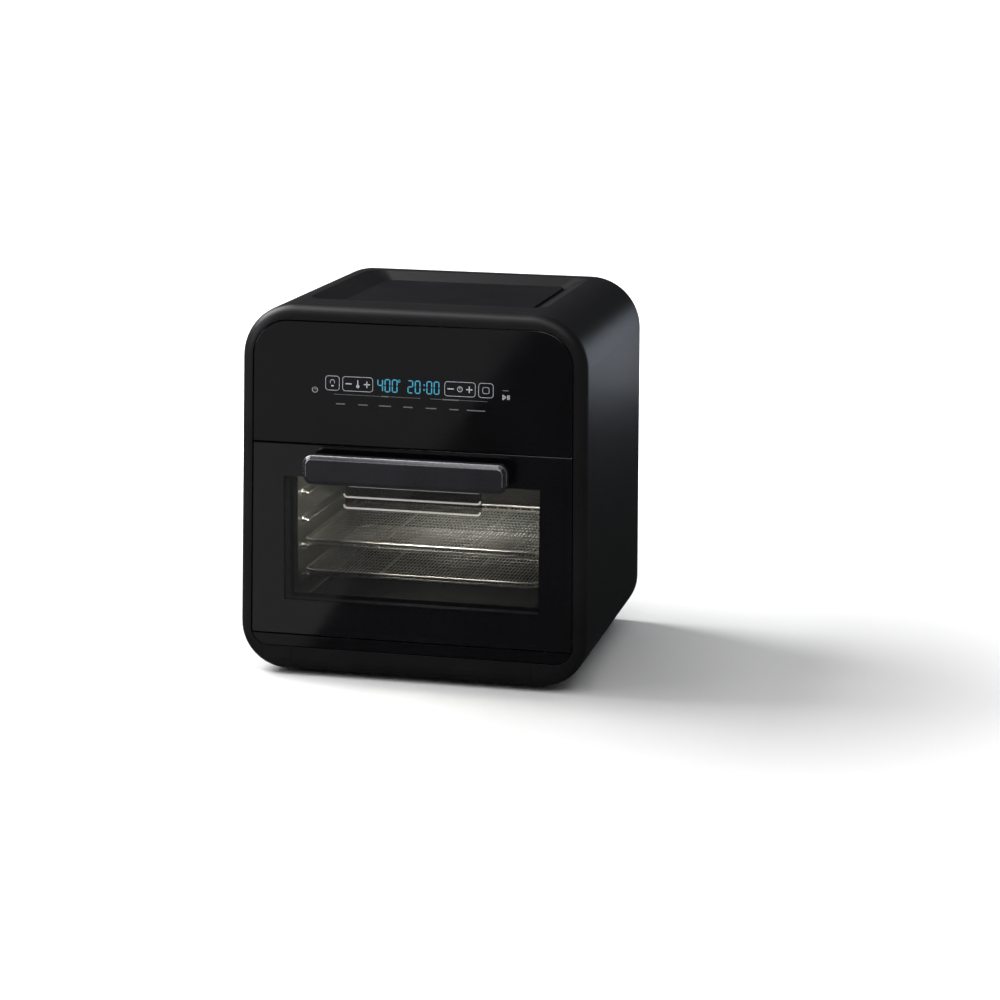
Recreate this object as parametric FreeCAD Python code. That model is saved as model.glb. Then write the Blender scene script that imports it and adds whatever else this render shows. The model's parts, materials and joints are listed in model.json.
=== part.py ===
"""Countertop digital oven: a rounded casing with a drop-down glass door, two mesh trays and a fan.

+Z is up, the front faces -Y and +X is to the right as seen from the front. The origin is on the
surface that the oven stands on, under the middle of its overall width and depth. Millimetres.
"""
import FreeCAD, Part
import math
import os

V = FreeCAD.Vector

# ---------------------------------------------------------------- driving dimensions
FOOT_HEIGHT = 4.0
BODY_HEIGHT = 366.0
BODY_DEPTH = 306.0
BOTTOM_HALF_WIDTH = 175.6        # the casing's sides lean in by about one degree
TOP_HALF_WIDTH = 170.4
TOP_CORNER = 53.0
BOTTOM_CORNER = 46.0
WALL = 3.0
RIM_ROUND = 13.0                 # round along the casing's front edge
HANDLE_REACH = 30.0
GLAND_REACH = 9.0

FACE_INSET = 13.2                # glass edge, in from the casing's side
OPENING_INSET = 12.4
FACE_TOP = 355.0
FACE_TOP_CORNER = 35.0
FACE_BOTTOM_CORNER = 17.0
PANEL_SEAM = 234.6               # between the control glass and the door
DOOR_BOTTOM = 42.0
TRIM_BOTTOM = 30.0
GLASS = 4.0

HINGE_SETBACK = 8.0              # the hinge axis is this far behind the face and above the door's edge
HINGE_Z = DOOR_BOTTOM + HINGE_SETBACK
HINGE_SWEEP = 11.8               # radius kept free around the hinge for the door's lower edge
PIN_RADIUS = 2.0
PIN_PLAY = 0.05
BUSH_RADIUS = 3.4
BUSH_LENGTH = 4.5
PIN_GRIP = 22.0                  # the pin's length inside the door frame

WINDOW_HALF = 124.5
WINDOW_LOW = 79.0
WINDOW_HIGH = 198.0
WINDOW_CORNER = 2.0
FRAME_BACK = 24.0                # back of the door frame, counted back from the face
DOOR_THICK = 25.0

HANDLE_HALF = 101.0
HANDLE_LOW = 200.0
HANDLE_HIGH = 229.0
HANDLE_THICK = 14.0
HANDLE_POST_X = 82.0

CAVITY_HALF = 124.0
CAVITY_LOW = 66.0
CAVITY_HIGH = 226.0
CAVITY_FRONT = 36.0              # depths are counted back from the face
CAVITY_BACK = 262.0
SHEET = 1.0
RAIL_HEIGHTS = (90.0, 120.0, 146.0, 174.0)
RAIL_RADIUS = 3.0
RAIL_REACH = 6.0

TRAY_HALF = 121.0
TRAY_FRONT = 40.0
TRAY_BACK = 255.0
TRAY_RIM = 3.0
TRAY_CORNER = 14.0

HOUSING_HALF = 104.0
HOUSING_TOP = 262.0
FAN_RADIUS = 54.0
FAN_LOW = 240.0
COIL_RADII = (63.0, 79.0)
COIL_TUBE = 3.2
COIL_Z = 238.0
AIR_HOLE_RADIUS = 90.0
COIL_END_X = (-14.0, 14.0)
PROBE_X = 70.0
PROBE_Z = 212.0
SHIELD_Z = 264.0
MOTOR_LOW = 284.0
MOTOR_HEIGHT = 34.0
MOTOR_RADIUS = 32.0
SHAFT_RADIUS = 3.0

# ---------------------------------------------------------------- derived places
BODY_LOW = FOOT_HEIGHT
BODY_TOP = BODY_LOW + BODY_HEIGHT
FRONT = -(BODY_DEPTH + GLAND_REACH - HANDLE_REACH) / 2
BACK = FRONT + BODY_DEPTH
HINGE_Y = FRONT + HINGE_SETBACK
FAN_Y = FRONT + (CAVITY_FRONT + CAVITY_BACK) / 2
BASE_HALF = 121.0                # the base pan's front lip ends here on each side
RECESS_DEPTH = 8.0
RECESS_HALF = 120.0
RECESS_FRONT = 52.0
RECESS_BACK = 290.0
RECESS_SLOPE = 21.0
TOP_PANEL = 2.0
GLAND_X = -118.0
GLAND_Z = 58.0


# ---------------------------------------------------------------- helpers
def box(x0, x1, y0, y1, z0, z1):
    return Part.makeBox(x1 - x0, y1 - y0, z1 - z0, V(x0, y0, z0))


def rod(radius, start, end):
    """A cylinder between two points."""
    start, end = V(*start), V(*end)
    return Part.makeCylinder(radius, start.distanceToPoint(end), start, end - start)


def edges_along(solid, axis):
    """The solid's straight edges that run along X, Y or Z."""
    found = []
    for edge in solid.Edges:
        if len(edge.Vertexes) == 2:
            run = edge.Vertexes[1].Point - edge.Vertexes[0].Point
            if abs(abs(getattr(run, axis)) - run.Length) < 1e-6:
                found.append(edge)
    return found


def edges_at(solid, axis, place):
    """The edges whose every point has this coordinate along X, Y or Z."""
    def flat(edge):
        bound = edge.BoundBox
        low, high = getattr(bound, axis.upper() + "Min"), getattr(bound, axis.upper() + "Max")
        return abs(low - place) < 1e-4 and abs(high - place) < 1e-4
    return [edge for edge in solid.Edges if flat(edge)]


def rounded_box(x0, x1, y0, y1, z0, z1, radius, axis="y"):
    """A box whose four edges along one axis are rounded."""
    solid = box(x0, x1, y0, y1, z0, z1)
    return solid.makeFillet(radius, edges_along(solid, axis))


def fuse(first, *others):
    return first.fuse(list(others)).removeSplitter() if others else first


def both_sides(solid):
    """The solid and its mirror image across the middle plane, as separate solids."""
    return Part.Compound([solid, solid.mirror(V(0, 0, 0), V(1, 0, 0))])


def depth(distance):
    """The Y of a plane this far behind the oven's face."""
    return FRONT + distance


def side_x(z, inset):
    """Half the casing's width at a height, less an inset."""
    share = (z - BODY_LOW) / BODY_HEIGHT
    return BOTTOM_HALF_WIDTH + (TOP_HALF_WIDTH - BOTTOM_HALF_WIDTH) * share - inset


def casing_prism(inset, y0, y1, z0, z1, top_radius=0.0, bottom_radius=0.0):
    """A prism along Y whose sides follow the casing's lean, with rounded top and bottom corners."""
    points = [
        V(-side_x(z0, inset), y0, z0),
        V(side_x(z0, inset), y0, z0),
        V(side_x(z1, inset), y0, z1),
        V(-side_x(z1, inset), y0, z1),
    ]
    outline = Part.Face(Part.makePolygon(points + points[:1]))
    solid = outline.extrude(V(0, y1 - y0, 0))
    for radius, z in ((top_radius, z1), (bottom_radius, z0)):
        if radius:
            corners = [edge for edge in edges_along(solid, "y") if abs(edge.Vertexes[0].Z - z) < 1e-6]
            solid = solid.makeFillet(radius, corners)
    return solid


def casing_block(inset, y0, y1, front_round):
    """The whole casing's outer form, inset all round, with its front edge rounded."""
    solid = casing_prism(inset, y0, y1, BODY_LOW + inset, BODY_TOP - inset,
                         TOP_CORNER - inset, BOTTOM_CORNER - inset)
    return solid.makeFillet(front_round, edges_at(solid, "y", y0))


def face_slice(y0, y1, z0, z1):
    """The part of the oven's flat face, glass and trim together, between two heights."""
    face = casing_prism(FACE_INSET, y0, y1, TRIM_BOTTOM, FACE_TOP, FACE_TOP_CORNER, FACE_BOTTOM_CORNER)
    return face.common(box(-200, 200, y0 - 1, y1 + 1, z0, z1))


def face_opening():
    """The opening in the casing's front that the glass, door and trim fill."""
    margin = FACE_INSET - OPENING_INSET
    return casing_prism(OPENING_INSET, depth(-1), depth(40), TRIM_BOTTOM - margin, FACE_TOP + margin,
                        FACE_TOP_CORNER + margin, FACE_BOTTOM_CORNER + margin)


def hinge_relief():
    """The space around the hinge axis that the door's lower edge turns in."""
    return rod(HINGE_SWEEP, (-side_x(HINGE_Z, OPENING_INSET), HINGE_Y, HINGE_Z),
               (side_x(HINGE_Z, OPENING_INSET), HINGE_Y, HINGE_Z))


def recess_outline(half_width, front, back, radius, grow, low_z, high_z):
    return rounded_box(-half_width - grow, half_width + grow, depth(front) - grow, depth(back) + grow,
                       low_z, high_z, radius + grow, "z")


def sloped_pocket(grow, top_z, floor_z):
    """A shallow tray shape whose sides slope in towards its floor."""
    rim = recess_outline(RECESS_HALF, RECESS_FRONT, RECESS_BACK, 20, grow, floor_z, top_z)
    floor = recess_outline(RECESS_HALF - RECESS_SLOPE, RECESS_FRONT + 14, RECESS_BACK - 14, 10,
                           grow, floor_z, top_z)
    rim_wire = Part.Wire(Part.sortEdges(edges_at(rim, "z", top_z))[0])
    floor_wire = Part.Wire(Part.sortEdges(edges_at(floor, "z", floor_z))[0])
    return Part.makeLoft([floor_wire, rim_wire], True, True)


def screw(head_at, direction, length, shank_radius=1.6, head_radius=3.4, head_height=2.0):
    """A pan-head screw. Its shank runs from the head's seat along the direction."""
    seat, along = V(*head_at), V(*direction)
    head = Part.makeCylinder(head_radius, head_height, seat - along * head_height, along)
    shank = Part.makeCylinder(shank_radius, length, seat, along)
    return fuse(head, shank)


# ---------------------------------------------------------------- casing
def rear_screw_places():
    """(x, z) of the rear cover's screws, one by each boss of the shell."""
    return [(side * (side_x(z, WALL) - 5.0), z) for z in (80.0, 190.0, 300.0) for side in (-1, 1)]


def base_screw_places():
    """(x, y) of the screws that hold the cavity's supports to the base pan."""
    return [(side * 104.0, depth(y)) for y in (75.0, 150.0, 225.0) for side in (-1, 1)]


def casing_tube():
    """The hollow casing before it is parted into the shell and the base pan."""
    outer = casing_block(0.0, FRONT, BACK, RIM_ROUND)
    inner = casing_block(WALL, depth(WALL), BACK + 1, RIM_ROUND - WALL)
    return outer.cut([inner, face_opening()])


def base_parting(half):
    return box(-half, half, depth(-1), BACK + 1, BODY_LOW - 1, TRIM_BOTTOM + 1)


def outer_shell():
    tube = casing_tube().cut(base_parting(BASE_HALF + 0.3))
    floor_z = BODY_TOP - RECESS_DEPTH - TOP_PANEL
    pan = sloped_pocket(WALL, BODY_TOP - 1.0, floor_z - WALL)
    recess = sloped_pocket(0.0, BODY_TOP + 0.01, floor_z)
    bosses = []
    pilots = []
    for x, z in rear_screw_places():
        side = 1 if x > 0 else -1
        outward = side * (side_x(z, WALL) + 1.0)
        bosses.append(box(min(x - side * 5, outward), max(x - side * 5, outward),
                          BACK - 18, BACK - 4, z - 5, z + 5))
        pilots.append(rod(1.7, (x, BACK - 15, z), (x, BACK, z)))
    return fuse(tube, pan, *bosses).cut([recess] + pilots)


def top_panel():
    z = BODY_TOP - RECESS_DEPTH - TOP_PANEL
    return rounded_box(-96, 96, depth(69), depth(273), z, z + TOP_PANEL, 8, "z")


def base_pan():
    pan = casing_tube().common(base_parting(BASE_HALF))
    holes = [rod(1.8, (x, y, 0), (x, y, 10)) for x, y in base_screw_places()]
    vents = [rounded_box(-60, 60, depth(y) - 2, depth(y) + 2, 0, 10, 1.9, "z")
             for y in range(110, 211, 12)]
    return pan.cut(holes + vents)


def rear_cover():
    plate = casing_prism(WALL + 0.4, BACK - 4, BACK - 2, BODY_LOW + WALL + 0.4, BODY_TOP - WALL - 0.4,
                         TOP_CORNER - WALL - 0.4, BOTTOM_CORNER - WALL - 0.4)
    slots = [rounded_box(x, x + 66, BACK - 5, BACK, z - 1.8, z + 1.8, 1.7)
             for z in range(262, 335, 9) for x in (-112, -33, 46)]
    low_slots = [rounded_box(x, x + 50, BACK - 5, BACK, z - 1.8, z + 1.8, 1.7)
                 for z in range(30, 49, 9) for x in (-25, 50)]
    holes = [rod(1.8, (x, BACK - 5, z), (x, BACK, z)) for x, z in rear_screw_places()]
    gland_hole = rod(7.1, (GLAND_X, BACK - 5, GLAND_Z), (GLAND_X, BACK, GLAND_Z))
    return plate.cut(slots + low_slots + holes + [gland_hole])


def cord_gland():
    neck = rod(7.0, (GLAND_X, BACK - 10, GLAND_Z), (GLAND_X, BACK - 2, GLAND_Z))
    flange = rod(12.0, (GLAND_X, BACK - 2, GLAND_Z), (GLAND_X, BACK + 1, GLAND_Z))
    nose = Part.makeCone(9.5, 7.0, GLAND_REACH - 1, V(GLAND_X, BACK + 1, GLAND_Z), V(0, 1, 0))
    bore = rod(4.0, (GLAND_X, BACK - 11, GLAND_Z), (GLAND_X, BACK + 10, GLAND_Z))
    return fuse(neck, flange, nose).cut(bore)


def front_bezel():
    """Moulded ring behind the casing's rim; it carries the control glass and the door's hinges."""
    fit = 0.3
    body = casing_block(WALL + fit, depth(WALL + fit), depth(34), RIM_ROUND - WALL - fit)
    cross_bar = casing_prism(OPENING_INSET - 1, depth(9), depth(30), 239, 249)
    pocket = box(-150, 150, depth(7), depth(35), BODY_LOW + 7, TRIM_BOTTOM - 4)
    solid = fuse(body.cut(face_opening()), cross_bar)
    return solid.cut([pocket, hinge_relief(), both_sides(hinge_cylinder(BUSH_RADIUS, -1.0, BUSH_LENGTH))])


def hinge_cylinder(radius, start, end):
    """A cylinder on the hinge axis at the right, between distances from the opening's side."""
    side = side_x(HINGE_Z, OPENING_INSET)
    return rod(radius, (side + start, HINGE_Y, HINGE_Z), (side + end, HINGE_Y, HINGE_Z))


def hinge_bushes():
    outer = hinge_cylinder(BUSH_RADIUS, 0.0, BUSH_LENGTH)
    return both_sides(outer.cut(hinge_cylinder(PIN_RADIUS + PIN_PLAY, -1.0, BUSH_LENGTH + 1.0)))


def hinge_springs():
    """Closely wound springs behind the trim strip that balance the door's weight."""
    y, z = depth(22), 36.0
    sleeve = rod(3.6, (98, y, z), (129, y, z)).cut(rod(2.4, (97, y, z), (130, y, z)))
    turns = [Part.makeTorus(4.0, 1.2, V(100.5 + 2.6 * turn, y, z), V(1, 0, 0)) for turn in range(11)]
    return both_sides(fuse(sleeve, *turns))


def lower_trim():
    strip = face_slice(FRONT, depth(GLASS), TRIM_BOTTOM, DOOR_BOTTOM - 0.3)
    ledge = box(-140, 140, depth(GLASS), depth(9), TRIM_BOTTOM, TRIM_BOTTOM + 3)
    return fuse(strip, ledge).cut(hinge_relief())


def rubber_feet():
    feet = []
    for x in (-128, 128):
        for y in (depth(42), BACK - 38):
            pad = Part.makeCone(10.0, 11.5, FOOT_HEIGHT, V(x, y, 0), V(0, 0, 1))
            feet.append(pad)
    return Part.Compound(feet)


def base_screws():
    return Part.Compound([screw((x, y, BODY_LOW), (0, 0, 1), 7.0) for x, y in base_screw_places()])


def rear_screws():
    return Part.Compound([screw((x, BACK - 2, z), (0, -1, 0), 10.0) for x, z in rear_screw_places()])


# ---------------------------------------------------------------- control panel
def control_glass():
    glass = face_slice(FRONT, depth(GLASS), PANEL_SEAM + 0.4, FACE_TOP)
    return glass.makeFillet(0.8, edges_at(glass, "y", FRONT))


def control_backing():
    """Light guide frame on the back of the glass, with a window for the display."""
    plate = rounded_box(-140, 140, depth(GLASS), depth(GLASS + 4), 252, 330, 8)
    return plate.cut(box(-104, 104, depth(GLASS) - 1, depth(GLASS + 5), 270, 308))


def display_module():
    return rounded_box(-103, 103, depth(GLASS), depth(GLASS + 7), 271, 307, 3)


def control_board():
    board = box(-118, 118, depth(13), depth(14.6), 256, 324)
    chips = [box(x, x + 14, depth(14.6), depth(18), 284, 298) for x in (-60, -10, 40)]
    plug = box(80, 104, depth(14.6), depth(24), 262, 272)
    holes = [rod(1.8, (x, depth(12), z), (x, depth(16), z)) for x in (-112, 112) for z in (262, 318)]
    return fuse(board, *chips, plug).cut(holes)


# ---------------------------------------------------------------- cavity
def cavity_wall(side):
    """A side wall of the cavity, with pressed rails that the trays slide on."""
    y0, y1 = depth(CAVITY_FRONT), depth(CAVITY_BACK)
    inner, outer = CAVITY_HALF, CAVITY_HALF + SHEET
    wall = box(inner, outer, y0, y1, CAVITY_LOW, CAVITY_HIGH)
    rails = []
    for z in RAIL_HEIGHTS:
        nose_x = inner - RAIL_REACH + RAIL_RADIUS
        rails.append(rod(RAIL_RADIUS, (nose_x, y0 + 8, z), (nose_x, y1 - 8, z)))
        rails.append(box(nose_x, inner + 0.5, y0 + 8, y1 - 8, z - RAIL_RADIUS, z + RAIL_RADIUS))
    solid = fuse(wall, *rails)
    if side < 0:
        return solid.mirror(V(0, 0, 0), V(1, 0, 0))
    return solid.cut(lamp_axis_rod(15.2, inner - 1, outer + 1))


def lamp_axis_rod(radius, x0, x1):
    y, z = depth(196), 204.0
    return rod(radius, (x0, y, z), (x1, y, z))


def cavity_floor():
    y0, y1 = depth(CAVITY_FRONT), depth(CAVITY_BACK)
    return box(-CAVITY_HALF - SHEET, CAVITY_HALF + SHEET, y0, y1, CAVITY_LOW - SHEET, CAVITY_LOW)


def cavity_ceiling():
    y0, y1 = depth(CAVITY_FRONT), depth(CAVITY_BACK)
    plate = box(-CAVITY_HALF - SHEET, CAVITY_HALF + SHEET, y0, y1, CAVITY_HIGH, CAVITY_HIGH + SHEET)
    return plate.cut(rod(AIR_HOLE_RADIUS, (0, FAN_Y, CAVITY_HIGH - 1), (0, FAN_Y, CAVITY_HIGH + 2)))


def cavity_back_wall():
    y = depth(CAVITY_BACK)
    plate = box(-CAVITY_HALF - SHEET, CAVITY_HALF + SHEET, y, y + SHEET,
                CAVITY_LOW - SHEET, CAVITY_HIGH + SHEET)
    vents = [rounded_box(x, x + 3, y - 1, y + 2, 196, 212, 1.4) for x in range(-36, 40, 9)]
    probe_hole = rod(2.2, (PROBE_X, y - 1, PROBE_Z), (PROBE_X, y + 2, PROBE_Z))
    return plate.cut(vents + [probe_hole])


def cavity_front_flange():
    y0, y1 = depth(34.4), depth(CAVITY_FRONT)
    plate = rounded_box(-152, 152, y0, y1, 50, 236, 10)
    return plate.cut(rounded_box(-CAVITY_HALF, CAVITY_HALF, y0 - 1, y1 + 1, CAVITY_LOW, CAVITY_HIGH, 6))


def cavity_supports():
    """Folded brackets that carry the cavity on the base pan."""
    y0, y1 = depth(60), depth(240)
    base_z = BODY_LOW + WALL
    upright = box(110, 111.5, y0, y1, base_z, CAVITY_LOW - SHEET)
    foot = box(96, 111.5, y0, y1, base_z, base_z + 1.5)
    top = box(96, 111.5, y0, y1, CAVITY_LOW - SHEET - 1.5, CAVITY_LOW - SHEET)
    holes = [rod(1.7, (104, y, base_z - 1), (104, y, base_z + 3)) for _, y in base_screw_places()[::2]]
    return both_sides(fuse(upright, foot, top).cut(holes))


def fan_housing():
    """Inverted pan over the cavity that holds the heating coil and the hot-air fan."""
    half, top = HOUSING_HALF, HOUSING_TOP
    low = CAVITY_HIGH + SHEET
    outer = rounded_box(-half, half, FAN_Y - half, FAN_Y + half, low, top, 30, "z")
    inner = rounded_box(-half + SHEET, half - SHEET, FAN_Y - half + SHEET, FAN_Y + half - SHEET,
                        low - 1, top - SHEET, 29, "z")
    shaft_hole = rod(SHAFT_RADIUS + 1.5, (0, FAN_Y, top - 3), (0, FAN_Y, top + 1))
    end_y = FAN_Y + COIL_RADII[1]
    terminals = [rod(COIL_TUBE + 0.6, (x, end_y, top - 3), (x, end_y, top + 1)) for x in COIL_END_X]
    return outer.cut([inner, shaft_hole] + terminals)


def heating_coil():
    """Two rings of sheathed element, joined at the front, with two terminals at the rear."""
    rings = [Part.makeTorus(radius, COIL_TUBE, V(0, FAN_Y, COIL_Z), V(0, 0, 1)) for radius in COIL_RADII]
    link = rod(COIL_TUBE, (0, FAN_Y - COIL_RADII[1], COIL_Z), (0, FAN_Y - COIL_RADII[0], COIL_Z))
    reach = math.sqrt(COIL_RADII[1] ** 2 - 14.0 ** 2)
    terminals = []
    for x in (-14, 14):
        terminals.append(rod(COIL_TUBE, (x, FAN_Y + reach, COIL_Z), (x, FAN_Y + COIL_RADII[1], COIL_Z)))
        terminals.append(rod(COIL_TUBE, (x, FAN_Y + COIL_RADII[1], COIL_Z),
                             (x, FAN_Y + COIL_RADII[1], HOUSING_TOP + 12)))
    return fuse(*rings, link, *terminals)


def coil_clips():
    clips = []
    for angle in (20, 160, 250):
        middle = sum(COIL_RADII) / 2
        strap = box(COIL_RADII[0] - 6, COIL_RADII[1] + 6, -3, 3, COIL_Z + COIL_TUBE, COIL_Z + COIL_TUBE + 1.5)
        post = box(middle - 2, middle + 2, -2, 2, COIL_Z + COIL_TUBE, HOUSING_TOP - SHEET)
        clip = fuse(strap, post)
        clip.rotate(V(0, 0, 0), V(0, 0, 1), angle)
        clip.translate(V(0, FAN_Y, 0))
        clips.append(clip)
    return Part.Compound(clips)


def heater_guard():
    """Pressed grille over the ceiling's air hole: rings on crossed bars."""
    low, high = CAVITY_HIGH + SHEET, CAVITY_HIGH + SHEET + 2.0
    rings = []
    for radius in (16, 34, 52, 70, 92):
        rings.append(rod(radius + 1.2, (0, FAN_Y, low), (0, FAN_Y, high)).cut(
            rod(radius - 1.2, (0, FAN_Y, low - 1), (0, FAN_Y, high + 1))))
    bars = []
    for angle in range(0, 180, 45):
        bar = box(-95, 95, -1.2, 1.2, low, high)
        bar.rotate(V(0, 0, 0), V(0, 0, 1), angle)
        bar.translate(V(0, FAN_Y, 0))
        bars.append(bar)
    return fuse(*bars, *rings)


def lamp_holder():
    cup = lamp_axis_rod(17, CAVITY_HALF + SHEET, 150)
    return cup.cut(lamp_axis_rod(14, CAVITY_HALF, 146))


def lamp_bulb():
    stem = lamp_axis_rod(5, 138, 146)
    bulb = lamp_axis_rod(9, 128, 140)
    return fuse(stem, bulb.makeFillet(5, edges_at(bulb, "x", 128)))


def lamp_lens():
    face = lamp_axis_rod(19, CAVITY_HALF - 3, CAVITY_HALF)
    collar = lamp_axis_rod(13.5, CAVITY_HALF, CAVITY_HALF + 2)
    collar = collar.cut(lamp_axis_rod(11, CAVITY_HALF, CAVITY_HALF + 3))
    return fuse(face.makeFillet(1.5, edges_at(face, "x", CAVITY_HALF - 3)), collar)


def temperature_probe():
    y = depth(CAVITY_BACK)
    stem = rod(2.0, (PROBE_X, y - 34, PROBE_Z), (PROBE_X, y + 10, PROBE_Z))
    flange = rod(5.0, (PROBE_X, y + SHEET, PROBE_Z), (PROBE_X, y + 4, PROBE_Z))
    return fuse(stem, flange)


# ---------------------------------------------------------------- works above the cavity
def heat_shield():
    plate = box(-148, 148, depth(40), depth(276), SHIELD_Z, SHIELD_Z + SHEET)
    lips = [box(x, x + SHEET, depth(40), depth(276), SHIELD_Z, SHIELD_Z + 12) for x in (-148, 147)]
    holes = [rod(SHAFT_RADIUS + 1.5, (0, FAN_Y, SHIELD_Z - 1), (0, FAN_Y, SHIELD_Z + 3))]
    for x in COIL_END_X:
        y = FAN_Y + COIL_RADII[1]
        holes.append(rod(COIL_TUBE + 1, (x, y, SHIELD_Z - 1), (x, y, SHIELD_Z + 3)))
    return fuse(plate, *lips).cut(holes)


def motor_bracket():
    """Bridge that holds the motor above its cooling fan."""
    low, high = SHIELD_Z + SHEET, MOTOR_LOW
    bridge = rounded_box(-58, 58, FAN_Y - 20, FAN_Y + 20, high - 2, high, 6, "z")
    legs = []
    for x in (-58, 56):
        legs.append(box(x, x + 2, FAN_Y - 14, FAN_Y + 14, low, high - 1))
        toe = -70 if x < 0 else 56
        legs.append(box(toe, toe + 14, FAN_Y - 14, FAN_Y + 14, low, low + 2))
    return fuse(bridge, *legs).cut(rod(9.0, (0, FAN_Y, high - 4), (0, FAN_Y, high + 2)))


def fan_motor():
    can = rod(MOTOR_RADIUS, (0, FAN_Y, MOTOR_LOW), (0, FAN_Y, MOTOR_LOW + MOTOR_HEIGHT))
    can = can.makeFillet(4, edges_at(can, "z", MOTOR_LOW + MOTOR_HEIGHT))
    stack = rounded_box(-40, 40, FAN_Y - 26, FAN_Y + 26, MOTOR_LOW + 8, MOTOR_LOW + 24, 5, "z")
    bore = rod(SHAFT_RADIUS + PIN_PLAY, (0, FAN_Y, MOTOR_LOW - 1), (0, FAN_Y, MOTOR_LOW + MOTOR_HEIGHT + 1))
    return fuse(can, stack).cut(bore)


def bladed_wheel(radius, hub_radius, low, height, blades, pitch):
    """A fan with straight pitched blades on a thin disc."""
    disc = rod(radius * 0.72, (0, FAN_Y, low), (0, FAN_Y, low + 1.2))
    hub = rod(hub_radius, (0, FAN_Y, low), (0, FAN_Y, low + height))
    wheel = [disc, hub]
    for index in range(blades):
        blade = box(hub_radius - 1, radius, -0.6, 0.6, low, low + height)
        blade.rotate(V((hub_radius + radius) / 2, 0, low), V(0, 0, 1), pitch)
        blade.rotate(V(0, 0, 0), V(0, 0, 1), index * 360.0 / blades)
        blade.translate(V(0, FAN_Y, 0))
        wheel.append(blade)
    round_off = rod(radius, (0, FAN_Y, low - 1), (0, FAN_Y, low + height + 1))
    bore = rod(SHAFT_RADIUS, (0, FAN_Y, low - 1), (0, FAN_Y, low + height + 1))
    return fuse(*wheel).common(round_off).cut(bore)


def hot_air_fan():
    return bladed_wheel(FAN_RADIUS, 8.0, FAN_LOW, 14.0, 8, 18)


def motor_cooling_fan():
    return bladed_wheel(46.0, 8.0, SHIELD_Z + 4, 9.0, 10, -18)


def fan_shaft():
    return rod(SHAFT_RADIUS, (0, FAN_Y, FAN_LOW - 4), (0, FAN_Y, MOTOR_LOW + MOTOR_HEIGHT + 6))


def fan_nut():
    points = [V(5.5 * math.cos(math.radians(a)), FAN_Y + 5.5 * math.sin(math.radians(a)), FAN_LOW - 3.6)
              for a in range(0, 360, 60)]
    nut = Part.Face(Part.makePolygon(points + points[:1])).extrude(V(0, 0, 3.6))
    return nut.cut(rod(SHAFT_RADIUS, (0, FAN_Y, FAN_LOW - 5), (0, FAN_Y, FAN_LOW)))


def thermal_cutout():
    low = SHIELD_Z + SHEET
    can = rod(9, (86, FAN_Y + 60, low), (86, FAN_Y + 60, low + 8))
    tabs = [box(86 + x, 89 + x, FAN_Y + 59.5, FAN_Y + 60.5, low + 7, low + 16) for x in (-6, 3)]
    return fuse(can, *tabs)


def power_board():
    board = box(-142, -76, depth(80), depth(250), 275, 276.6)
    posts = [rod(3, (x, depth(y), SHIELD_Z + SHEET), (x, depth(y), 275))
             for x in (-137, -81) for y in (86, 244)]
    return fuse(board, *posts)


def transformer():
    core = rounded_box(-134, -92, depth(96), depth(136), 276.6, 306, 3, "z")
    winding = rounded_box(-128, -98, depth(90), depth(142), 282, 300, 4, "x")
    return fuse(core, winding)


def relays():
    return Part.Compound([box(-134, -116, depth(y), depth(y + 28), 276.6, 293) for y in (152, 188)])


def capacitors():
    return Part.Compound([rod(7, (-94, depth(y), 276.6), (-94, depth(y), 302)) for y in (156, 176, 196)])


def terminal_block():
    block = rounded_box(80, 130, depth(232), depth(254), SHIELD_Z + SHEET, 284, 3, "x")
    ports = [rod(2.6, (x, depth(231), 275), (x, depth(241), 275)) for x in (90, 105, 120)]
    return block.cut(ports)


def door_sensor():
    """Sealed switch that the door's magnet closes."""
    return rounded_box(124, 146, depth(22), depth(30), 249, 257, 2, "x")


# ---------------------------------------------------------------- door
def door_glass():
    glass = face_slice(FRONT, depth(GLASS), DOOR_BOTTOM, PANEL_SEAM - 0.4)
    glass = glass.makeFillet(1.0, edges_at(glass, "y", FRONT))
    holes = [rod(2.8, (x, depth(-1), z), (x, depth(GLASS + 1), z)) for x, z in handle_screw_places()]
    return glass.cut(holes)


def door_frame():
    outer = casing_prism(FACE_INSET + 3, depth(GLASS), depth(FRAME_BACK), HINGE_Z - 4, PANEL_SEAM - 4, 6.0)
    past = depth(FRAME_BACK + 1)
    window = rounded_box(-WINDOW_HALF - 4, WINDOW_HALF + 4, depth(GLASS - 1), past,
                         WINDOW_LOW - 4, WINDOW_HIGH + 4, WINDOW_CORNER + 2)
    cuts = [window, both_sides(hinge_cylinder(PIN_RADIUS, -PIN_GRIP, 1.0)),
            box(124, 146, depth(14), past, 218, 226),
            box(-120, 120, depth(8), past, HINGE_Z + 2, WINDOW_LOW - 8),
            box(-60, 60, depth(8), past, WINDOW_HIGH + 8, PANEL_SEAM - 8)]
    for x, z in handle_screw_places():
        cuts.append(rod(6.0, (x, depth(GLASS + 3), z), (x, past, z)))
        cuts.append(rod(2.8, (x, depth(GLASS - 1), z), (x, depth(GLASS + 4), z)))
    return outer.cut(cuts)


def door_inner_panel():
    """Steel ring that holds the inner glass against the frame."""
    outer = rounded_box(-148, 148, depth(FRAME_BACK), depth(DOOR_THICK), 52, 224, 8)
    window = rounded_box(-WINDOW_HALF, WINDOW_HALF, depth(FRAME_BACK - 1), depth(DOOR_THICK + 1),
                         WINDOW_LOW, WINDOW_HIGH, WINDOW_CORNER)
    return outer.cut(window)


def door_inner_glass():
    return rounded_box(-WINDOW_HALF - 3.5, WINDOW_HALF + 3.5, depth(FRAME_BACK - 3), depth(FRAME_BACK),
                       WINDOW_LOW - 3.5, WINDOW_HIGH + 3.5, WINDOW_CORNER + 1.5)


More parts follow.
